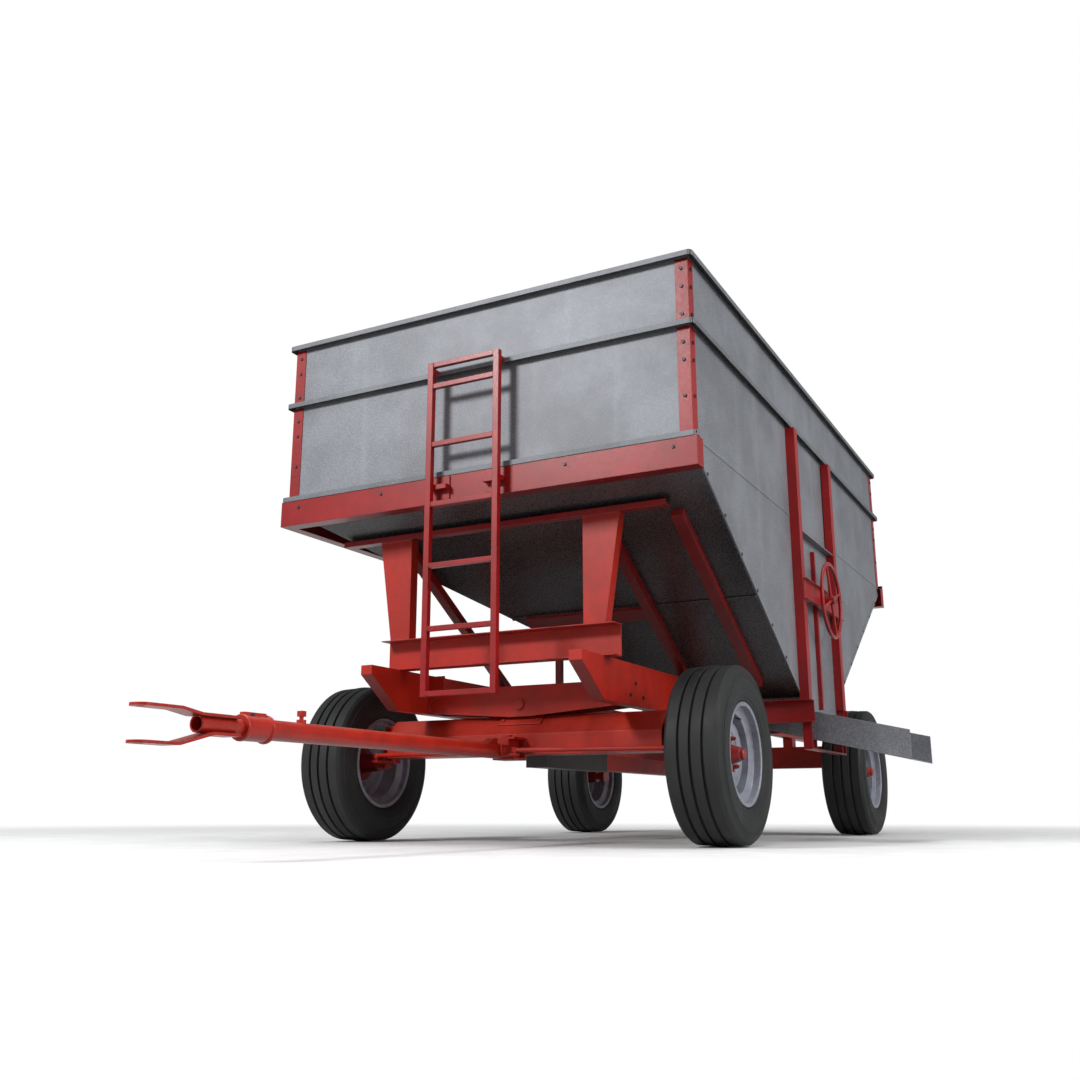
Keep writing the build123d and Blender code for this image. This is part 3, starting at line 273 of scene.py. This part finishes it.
def bare_metal(name, tone, roughness, rust):
    """Plated or machined steel with scratches and a little surface rust."""
    shader = Shader(name, Metallic=0.85)
    scratches = shader.noise(scale=60.0, detail=4.0, roughness=0.7, stretch=(1.0, 1.0, 9.0))
    spots = shader.noise(scale=70.0, detail=5.0, roughness=0.7)
    shade = shader.blend_in(scaled(tone, 0.7), colour(*tone), scratches, 0.35, 0.7)
    shade = shader.blend_in(shade, RUST, spots, 0.55, 0.72, rust)
    sheen = shader.band(spots, 0.35, 0.75, roughness, roughness + 0.25)
    rounded = shader.edges(0.002)[1]
    relief = shader.math("ADD", scratches, spots)
    return shader.finished(shade, sheen, relief, 0.2, 0.0005, rounded)


# The underside share of each zinc finish is how far painted shade darkens its downward faces:
# almost black under the ledges.
sheet_finish = galvanised(
    "galvanised_box", (0.59, 0.60, 0.625), roughness=0.50, metallic=0.22, underside_shade=0.6
)
ledge_finish = galvanised(
    "galvanised_ledge", (0.52, 0.53, 0.55), roughness=0.50, metallic=0.25, underside_shade=0.97
)
underside_finish = galvanised(
    "galvanised_hopper", (0.42, 0.42, 0.43), roughness=0.27, metallic=0.6, underside_shade=0.3
)
upper_red = paint("upper_red_paint", (0.71, 0.03, 0.045), (0.78, 0.17, 0.17))
chassis_red = paint(
    "chassis_red_paint", (0.83, 0.135, 0.02), (0.86, 0.25, 0.13), wear=0.4, roughness=0.40
)
hub_red = paint("hub_red_paint", (0.70, 0.12, 0.09), (0.78, 0.26, 0.22), wear=0.5, roughness=0.38)
tyre_rubber = rubber("tyre_rubber")
rim_silver = rim_enamel("rim_silver")
bolt_steel = bare_metal("bolt_steel", (0.36, 0.36, 0.38), roughness=0.40, rust=0.5)
pin_steel = bare_metal("pin_steel", (0.62, 0.63, 0.65), roughness=0.28, rust=0.25)
sleeve_paint = paint(
    "sleeve_dark_paint", (0.24, 0.22, 0.21), (0.34, 0.31, 0.29), wear=0.4, roughness=0.5
)

FINISHES = {
    "galvanised_sheet": sheet_finish,
    "red_paint": upper_red,
    "tyre": tyre_rubber,
    "rim_paint": rim_silver,
    "plated_bolts": bolt_steel,
    "dark_paint": sleeve_paint,
    "bright_steel": pin_steel,
}
NODE_FINISHES = {
    ledge_finish: ("ledges", "top_rim"),
    underside_finish: ("front_slope", "rear_slope", "left_slope", "throat"),
    chassis_red: (
        "frame_posts", "cross_channels", "left_rail", "right_rail", "front_bolster", "front_axle",
        "rear_axle", "reach_pole", "left_spindle", "right_spindle", "tie_rods", "steer_block",
        "tongue_tube", "tongue_slider", "latch_pin", "pivot_pin", "yaw_pin",
    ),
    hub_red: tuple(name for name in nodes if name.endswith("_hub")),
}


def finish_nodes():
    """Give every carried-over node its finish, by its material slot or by its own name."""
    chosen = {name: finish for finish, names in NODE_FINISHES.items() for name in names}
    for name, node in nodes.items():
        for slot in node.material_slots:
            slot.material = chosen.get(name) or FINISHES[slot.material.name.split(".")[0]]


finish_nodes()


# ============================== building pieces =============================================

HEXAGON_CORNER = 1.1547  # a hexagon's corner radius over half its width across the flats


def make_piece(name, build, body, finish, smooth=False):
    """A mesh piece filled in by a function, riding on a body."""
    shape = bmesh.new()
    build(shape)
    bmesh.ops.recalc_face_normals(shape, faces=shape.faces)
    mesh = bpy.data.meshes.new(name)
    shape.to_mesh(mesh)
    shape.free()
    mesh.materials.append(finish)
    for face in mesh.polygons:
        face.use_smooth = smooth
    piece = bpy.data.objects.new(name, mesh)
    bpy.context.scene.collection.objects.link(piece)
    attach(piece, body)


def placed(centre, axis):
    """The matrix that takes the origin to a centre and +Z to an axis."""
    turn = Vector(axis).to_track_quat("Z", "Y").to_matrix().to_4x4()
    return Matrix.Translation(centre) @ turn


def add_turning(shape, centre, axis, profile, segments=24, start=0.0):
    """Turn a profile of (radius, height) points round an axis, as a closed skin."""
    matrix = placed(centre, axis)
    rings = []
    for radius, height in profile:
        ring = []
        for step in range(segments):
            angle = start + 2 * pi * step / segments
            point = Vector((radius * cos(angle), radius * sin(angle), height))
            ring.append(shape.verts.new(matrix @ point))
        rings.append(ring)
    for low, high in zip(rings, rings[1:]):
        for step in range(segments):
            after = (step + 1) % segments
            shape.faces.new((low[step], low[after], high[after], high[step]))
    shape.faces.new(rings[0])
    shape.faces.new(rings[-1])


def add_bolt(shape, centre, axis, across, height):
    """A bolt with a washer, and a hexagon head with a chamfered crown."""
    washer = across * 0.75
    disc = [(washer, 0.0), (washer, 0.0016), (washer * 0.94, 0.0022)]
    add_turning(shape, centre, axis, disc, 20)
    half = across / 2 * HEXAGON_CORNER
    crown = [
        (half, 0.002), (half, height * 0.82), (half * 0.86, height), (half * 0.3, height * 1.04)
    ]
    add_turning(shape, centre, axis, crown, 6, pi / 6)


def add_bar(shape, low, high, bevel):
    """A bar between two corners, with its edges eased."""
    made = bmesh.ops.create_cube(shape, size=1.0)["verts"]
    low, high = Vector(low), Vector(high)
    size, middle = high - low, (low + high) / 2
    for vert in made:
        vert.co = Vector(vert.co[i] * size[i] + middle[i] for i in range(3))
    edges = list({edge for vert in made for edge in vert.link_edges})
    bmesh.ops.bevel(shape, geom=edges, offset=bevel, segments=2, affect="EDGES", profile=0.7)


def add_weld(shape, start, end, radius=0.005, pitch=0.007):
    """A weld bead between two points: a rippled round run, half sunk in the corner it fills."""
    tip, hollow = 0.001, 0.72
    start, end = Vector(start), Vector(end)
    run = end - start
    count = max(3, int(run.length / pitch))
    profile = [(tip, 0.0)]
    for step in range(count):
        height = run.length * (step + 0.5) / count
        profile.append((radius * (1.0 if step % 2 else hollow), height))
    profile.append((tip, run.length))
    add_turning(shape, start, run, profile, 8)


def add_plate(shape, corners, normal, thickness, bevel=0.001):
    """A flat plate with straight sides through the given corners, thickened along a normal."""
    lift = Vector(normal).normalized() * thickness
    low = [shape.verts.new(Vector(corner)) for corner in corners]
    high = [shape.verts.new(Vector(corner) + lift) for corner in corners]
    shape.faces.new(low)
    shape.faces.new(high)
    for step in range(len(corners)):
        after = (step + 1) % len(corners)
        shape.faces.new((low[step], low[after], high[after], high[step]))
    edges = list({edge for vert in low + high for edge in vert.link_edges})
    bmesh.ops.bevel(shape, geom=edges, offset=bevel, segments=1, affect="EDGES")


def add_ring(shape, centre, axis, radius, thickness, segments=96, sides=8):
    """A thin closed ring round an axis."""
    matrix = placed(centre, axis)
    loops = []
    for step in range(segments):
        angle = 2 * pi * step / segments
        loop = []
        for part in range(sides):
            around = 2 * pi * part / sides
            reach = radius + thickness * cos(around)
            point = Vector((reach * cos(angle), reach * sin(angle), thickness * sin(around)))
            loop.append(shape.verts.new(matrix @ point))
        loops.append(loop)
    for step in range(segments):
        here, after = loops[step], loops[(step + 1) % segments]
        for part in range(sides):
            follow = (part + 1) % sides
            shape.faces.new((here[part], here[follow], after[follow], after[part]))


def collar_profile(inner, outer, width, steps=6):
    """A rounded collar's section, standing on a tube."""
    points = [(inner, -width / 2)]
    for step in range(steps + 1):
        angle = pi * step / steps
        points.append((inner + (outer - inner) * sin(angle), -width / 2 * cos(angle)))
    points.append((inner, width / 2))
    return points


# ============================== box details =================================================

SHEET_BEVEL = 0.0008
seam_z = right_low.z
slope_low, slope_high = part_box("front_slope")
slope_rise = (slope_high.z - slope_low.z) / (slope_high.y - slope_low.y)


def build_side_seams(shape):
    """Folded lap strips: one along the left side's seam, and two along the right's by the gate."""
    lap, proud, end_gap = 0.016, 0.0022, 0.002
    gate_low, gate_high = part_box("gate_rails")
    front_end, rear_end = front_y + end_gap, rear_y - end_gap
    for start, end in ((front_end, gate_low.y), (gate_high.y, rear_end)):
        low, high = (right_x, start, seam_z - lap), (right_x + proud, end, seam_z)
        add_bar(shape, low, high, SHEET_BEVEL)
    low, high = (left_x - proud, front_end, seam_z - lap), (left_x, rear_end, seam_z)
    add_bar(shape, low, high, SHEET_BEVEL)


def build_slope_seams(shape):
    """Lap strips across the undersides of the front and rear slopes."""
    seam_height, lap, proud = 1.205, 0.022, 0.003
    left_gap, right_gap, sheet_drop = 0.02, 0.006, 0.006
    throat_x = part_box("throat")[0].x
    run = (slope_high.z - seam_height) / slope_rise
    share = run / (slope_high.y - slope_low.y)
    left = left_x + share * (throat_x - left_x) + left_gap
    right = right_x - right_gap
    top = seam_height - sheet_drop
    foot = top - slope_rise * lap
    for sign, edge in ((1, slope_low), (-1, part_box("rear_slope")[1])):
        top_y = edge.y + sign * run
        foot_y = top_y + sign * lap
        corners = [(left, top_y, top), (right, top_y, top),
                   (right, foot_y, foot), (left, foot_y, foot)]
        add_plate(shape, corners, (0, -sign * slope_rise, -1), proud)


def build_panel_folds(shape):
    """Turned hems down the vee edges of the right side, where the slopes bolt on."""
    proud, width, end_gap, lift = 0.0025, 0.03, 0.004, 0.002
    gate_low, gate_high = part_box("gate_rails")
    for sign, edge, stop in ((1, front_y, gate_low.y), (-1, rear_y, gate_high.y)):
        start = edge + sign * end_gap
        start_z = slope_high.z + lift
        stop_z = slope_high.z - slope_rise * abs(stop - edge) + lift
        corners = [(right_x, start, start_z), (right_x, stop, stop_z),
                   (right_x, stop, stop_z + width), (right_x, start, start_z + width)]
        add_plate(shape, corners, (1, 0, 0), proud, SHEET_BEVEL)


make_piece("side_seam_laps", build_side_seams, "root", sheet_finish)
make_piece("slope_seam_laps", build_slope_seams, "root", underside_finish)
make_piece("vee_hems", build_panel_folds, "root", sheet_finish)


# ============================== chassis details =============================================

# The front axle's leaning face: where it starts, and how far it goes back and up from there.
axle_face_y = front_y + 0.450
axle_step_z = 0.530
lean_back, lean_up = 0.080, 0.094
axle_face_normal = Vector((0.0, -lean_up, lean_back)).normalized()
cover_thickness = 0.008


def on_axle_face(x, share):
    """A point on the axle's leaning face, beside the middle and a share of the way up."""
    back, up = lean_back * share, lean_up * share
    return Vector((middle_x + x, axle_face_y + back, axle_step_z + up))


def build_axle_plate(shape):
    """The small bolted cover plate on the middle of the axle's leaning face."""
    half, low, high = 0.122, 0.50, 0.94
    corners = [on_axle_face(-half, low), on_axle_face(half, low), on_axle_face(half, high),
               on_axle_face(-half, high)]
    add_plate(shape, corners, axle_face_normal, cover_thickness, 0.0015)


def build_axle_bolts(shape):
    """Two bolts through the cover plate."""
    bolt_x, bolt_share = 0.098, 0.72
    for side in (-1, 1):
        centre = on_axle_face(side * bolt_x, bolt_share) + axle_face_normal * cover_thickness
        add_bolt(shape, centre, axle_face_normal, 0.014, 0.007)


make_piece("axle_cover_plate", build_axle_plate, "front_axle", chassis_red)
make_piece("axle_cover_bolts", build_axle_bolts, "front_axle", chassis_red)

bolster_low, bolster_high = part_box("front_bolster")
rail_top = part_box("left_rail")[1].z


def build_gussets(shape):
    """Upright gussets between the rails and the bolster, with sloping tops."""
    thickness, width, stand_off = 0.010, 0.095, 0.012
    foot_sink, top_gap, outer_rise = 0.008, 0.004, 0.075
    y = bolster_low.y - stand_off
    foot = rail_top - foot_sink
    for side in (-1, 1):
        wall = middle_x + side * (bolster_high.x - bolster_low.x) / 2
        inward = wall - side * width
        corners = [(wall, y, foot), (inward, y, foot),
                   (inward, y, bolster_high.z - top_gap), (wall, y, bolster_low.z + outer_rise)]
        add_plate(shape, corners, (0, 1, 0), thickness)


def build_frame_welds(shape):
    """Weld beads where the posts, cross channels, rails and bolster meet."""
    post_inner, post_foot, post_head = 0.497, 0.609, 0.688
    post_sink, rail_lift, bolster_sink, bolster_rise = 0.002, 0.001, 0.002, 0.04
    post_low, post_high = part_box("frame_posts")
    cross_low, cross_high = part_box("cross_channels")
    rail_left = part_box("left_rail")
    rail_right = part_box("right_rail")
    foot, head, bead = post_low.z + post_sink, post_high.z - post_sink, rail_top + rail_lift
    for y in (post_low.y, post_high.y):
        for side in (-1, 1):
            start = middle_x + side * post_inner
            add_weld(shape, (start, y, foot), (middle_x + side * post_foot, y, foot))
            add_weld(shape, (start, y, head), (middle_x + side * post_head, y, head))
    for y in (cross_low.y, cross_high.y):
        for low, high in (rail_left, rail_right):
            add_weld(shape, (low.x, y, bead), (high.x, y, bead))
    y = bolster_low.y
    for x in (bolster_low.x + bolster_sink, bolster_high.x - bolster_sink):
        add_weld(shape, (x, y, bolster_low.z + bolster_rise), (x, y, bolster_high.z))


make_piece("bolster_gussets", build_gussets, "root", chassis_red)
make_piece("frame_welds", build_frame_welds, "root", chassis_red)


def build_ladder_welds(shape):
    """Fillet beads round the ladder rungs where they meet the rails."""
    rung, pitch, even_rungs, sink = 0.024, 0.306, 6, 0.001
    bead = {"radius": 0.0035, "pitch": 0.005}
    low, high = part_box("ladder_rungs")
    heights = [low.z + rung / 2 + step * pitch for step in range(even_rungs)]
    heights.append(high.z - rung / 2)
    for height in heights:
        foot, head = height - rung / 2, height + rung / 2
        for x in (low.x + sink, high.x - sink):
            for y in (low.y, high.y):
                add_weld(shape, (x, y, foot), (x, y, head), **bead)
            for z in (foot, head):
                add_weld(shape, (x, low.y, z), (x, high.y, z), **bead)


make_piece("ladder_welds", build_ladder_welds, "root", upper_red)


# ============================== tongue details ==============================================

tube_low, tube_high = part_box("tongue_tube")
tongue_z = 0.440


def build_tongue_rings(shape):
    """Rounded rings at both ends of the tongue's collar."""
    inner, width = 0.044, 0.018
    forward = Vector((0.0, -1.0, 0.0))
    for back, outer in ((0.010, 0.0475), (0.128, 0.0515)):
        centre = Vector((middle_x, tube_low.y + back, tongue_z))
        add_turning(shape, centre, forward, collar_profile(inner, outer, width), 40)


def build_tongue_lug(shape):
    """The raised rest plate on top of the tongue's rear end."""
    half, foot, head, slant = 0.021, 0.030, 0.058, 0.030
    start, end = tube_high.y - 0.125, tube_high.y - 0.035
    outline = [(start, foot), (end, foot), (end, head), (end - slant, head)]
    corners = [(middle_x - half, y, tongue_z + rise) for y, rise in outline]
    add_plate(shape, corners, (1, 0, 0), 2 * half, 0.002)


def build_clamp_bolt(shape):
    """The bolt through the block on the collar."""
    block_half, block_back, block_rise = 0.012, 0.05, 0.046
    for side in (-1, 1):
        centre = Vector((middle_x + side * block_half, tube_low.y + block_back,
                         tongue_z + block_rise))
        add_bolt(shape, centre, (side, 0, 0), 0.012, 0.006)


def build_hinge_nuts(shape):
    """Nuts and washers on the lift pin's ends."""
    pin_half, pin_back = 0.0522, 0.255
    for side in (-1, 1):
        centre = Vector((middle_x + side * pin_half, front_y + pin_back, tongue_z))
        add_bolt(shape, centre, (side, 0, 0), 0.024, 0.009)


make_piece("tongue_rings", build_tongue_rings, "tongue", chassis_red, True)
make_piece("tongue_lug", build_tongue_lug, "tongue", chassis_red)
make_piece("collar_bolt", build_clamp_bolt, "tongue", bolt_steel)
make_piece("lift_pin_nuts", build_hinge_nuts, "steer_block", chassis_red)


# ============================== wheel details ===============================================

AXLE_AXIS = Vector((1, 0, 0))
# Each sidewall ring's radius, distance from the wheel's middle plane, and thickness.
SIDEWALL_RINGS = (
    (0.262, 0.1275, 0.0045), (0.300, 0.1372, 0.0030), (0.352, 0.1375, 0.0030),
    (0.366, 0.1336, 0.0030),
)
# Each rolled ring's radius and distance from the wheel's middle plane.
RIM_RINGS = ((0.150, 0.049), (0.108, 0.043))
# The valve stem's outline of (radius, height) from its foot to its cap, and how far it leans
# down towards the axle for each unit outward.
VALVE_PROFILE = (
    (0.0065, 0.0), (0.0065, 0.004), (0.0042, 0.007), (0.0042, 0.030), (0.0052, 0.031),
    (0.0052, 0.042), (0.0038, 0.044),
)
VALVE_LEAN = -0.35


def build_tyre_ribs(middle):
    """A function that fills in a tyre's sidewall rings: bead, mid-wall and shoulder ridges."""
    def build(shape):
        for side in (-1, 1):
            for radius, spread, thickness in SIDEWALL_RINGS:
                centre = Vector((middle.x + side * spread, middle.y, middle.z))
                add_ring(shape, centre, AXLE_AXIS, radius, thickness)
    return build


def build_rim_rings(middle, outward):
    """A function that fills in the rim's rolled rings on the disc's edge."""
    def build(shape):
        for radius, spread in RIM_RINGS:
            centre = Vector((middle.x + outward * spread, middle.y, middle.z))
            add_ring(shape, centre, AXLE_AXIS, radius, 0.0028)
    return build


def build_valve(middle, outward):
    """A function that fills in the valve stem through the rim's well."""
    def build(shape):
        spread, rise = 0.062, 0.172
        base = Vector((middle.x + outward * spread, middle.y, middle.z + rise))
        add_turning(shape, base, Vector((outward, 0.0, VALVE_LEAN)), VALVE_PROFILE, 16)
    return build


for corner in ("front_left", "front_right", "rear_left", "rear_right"):
    wheel_low, wheel_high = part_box(f"{corner}_tyre")
    middle = (wheel_low + wheel_high) / 2
    outward = -1 if corner.endswith("left") else 1
    body = f"{corner}_wheel"
    ribs, rings = build_tyre_ribs(middle), build_rim_rings(middle, outward)
    valve = build_valve(middle, outward)
    make_piece(f"{corner}_sidewall_rings", ribs, body, tyre_rubber, True)
    make_piece(f"{corner}_rim_rings", rings, body, rim_silver, True)
    make_piece(f"{corner}_valve", valve, body, bolt_steel, True)


# ============================== camera, light and floor =====================================

def add_camera():
    """The viewing angle: close to the ground, looking up at the front right corner."""
    lens, sensor, sight = 36.52, 36.0, 200.0
    right, forward, height = 2.7198, 4.3719, 0.1641
    tilt, turn = 13.836, 28.164
    data = bpy.data.cameras.new("camera")
    data.lens = lens
    data.sensor_width = sensor
    data.clip_end = sight
    camera = bpy.data.objects.new("camera", data)
    bpy.context.scene.collection.objects.link(camera)
    camera.location = (middle_x + right, front_y - forward, ground + height)
    camera.rotation_euler = (radians(90 + tilt), 0.0, radians(turn))
    bpy.context.scene.camera = camera


def add_area(name, place, aim, size, watts):
    """A square soft box aimed at a point."""
    data = bpy.data.lights.new(name, "AREA")
    data.shape = "SQUARE"
    data.size = size
    data.energy = watts
    lamp = bpy.data.objects.new(name, data)
    bpy.context.scene.collection.objects.link(lamp)
    lamp.location = place
    lamp.rotation_euler = (Vector(aim) - Vector(place)).to_track_quat("-Z", "Y").to_euler()


def add_lights():
    """A key from the front left, a wide fill from the right and a soft top light."""
    key, key_aim = (middle_x - 3.34, front_y - 7.2, 6.28), (middle_x, front_y, 1.6)
    add_area("key", key, key_aim, size=1.9, watts=540.0)
    fill, fill_aim = (middle_x + 8.5, front_y + 0.5, 4.5), (middle_x, 0.3, 1.6)
    add_area("fill", fill, fill_aim, size=5.0, watts=380.0)
    top, top_aim = (middle_x, 0.0, 9.0), (middle_x, 0.0, 1.0)
    add_area("top", top, top_aim, size=6.0, watts=420.0)


def lit_rays(tree):
    """1 for camera, glossy and transmission rays, which see the plain background."""
    path = tree.nodes.new("ShaderNodeLightPath")
    total = path.outputs["Is Camera Ray"]
    for ray in ("Is Glossy Ray", "Is Transmission Ray"):
        either = tree.nodes.new("ShaderNodeMath")
        either.operation = "MAXIMUM"
        tree.links.new(total, either.inputs[0])
        tree.links.new(path.outputs[ray], either.inputs[1])
        total = either.outputs[0]
    return total


def add_background(tree, tone, strength):
    """A background shader with a tone and a strength."""
    background = tree.nodes.new("ShaderNodeBackground")
    background.inputs["Color"].default_value = tone
    background.inputs["Strength"].default_value = strength
    return background.outputs[0]


def add_world():
    """White to the eye, and an even pale light to everything else."""
    world = bpy.data.worlds.new("studio")
    world.use_nodes = True
    tree = world.node_tree
    tree.nodes.clear()
    light = add_background(tree, (0.93, 0.96, 1.0, 1.0), 0.30)
    seen = add_background(tree, WHITE, 1.0)
    path = tree.nodes.new("ShaderNodeLightPath")
    mix = tree.nodes.new("ShaderNodeMixShader")
    output = tree.nodes.new("ShaderNodeOutputWorld")
    tree.links.new(path.outputs["Is Camera Ray"], mix.inputs[0])
    tree.links.new(light, mix.inputs[1])
    tree.links.new(seen, mix.inputs[2])
    tree.links.new(mix.outputs[0], output.inputs[0])
    bpy.context.scene.world = world


def fade_to_white(shader):
    """Far from the wagon the floor turns into the white background for the rays that see it."""
    near, far = 3.5, 9.0
    tree = shader.tree
    away = shader.node("ShaderNodeVectorMath", {0: shader.place}, operation="LENGTH")
    faded = shader.band(away.outputs["Value"], near, far)
    share = shader.math("MULTIPLY", faded, lit_rays(tree))
    white = shader.node("ShaderNodeEmission", {"Color": WHITE, "Strength": 1.0})
    mix = shader.node("ShaderNodeMixShader", {0: share})
    tree.links.new(shader.surface.outputs[0], mix.inputs[1])
    tree.links.new(white.outputs[0], mix.inputs[2])
    tree.links.new(mix.outputs[0], tree.nodes["Material Output"].inputs["Surface"])


def add_floor():
    """A pale, slightly mottled floor that keeps the wagon's shadow."""
    bpy.ops.mesh.primitive_plane_add(size=90.0, location=(0.0, 0.0, ground))
    floor = bpy.context.object
    floor.name = "floor"
    shader = Shader("pale_floor", Roughness=0.9)
    mottle = shader.noise(scale=3.0, detail=8.0, roughness=0.7)
    pale = shader.blend_in(colour(0.955, 0.955, 0.95), WHITE, mottle, 0.4, 0.7)
    shade = shader.mix(lit_rays(shader.tree), colour(0.48, 0.47, 0.46), pale)
    shader.set(Base_Color=shade, Specular_IOR_Level=0.1)
    shader.bump(mottle, 0.3, 0.01)
    fade_to_white(shader)
    floor.data.materials.append(shader.material)


add_camera()
add_lights()
add_world()
add_floor()
scene = bpy.context.scene
scene.view_settings.view_transform = "Standard"
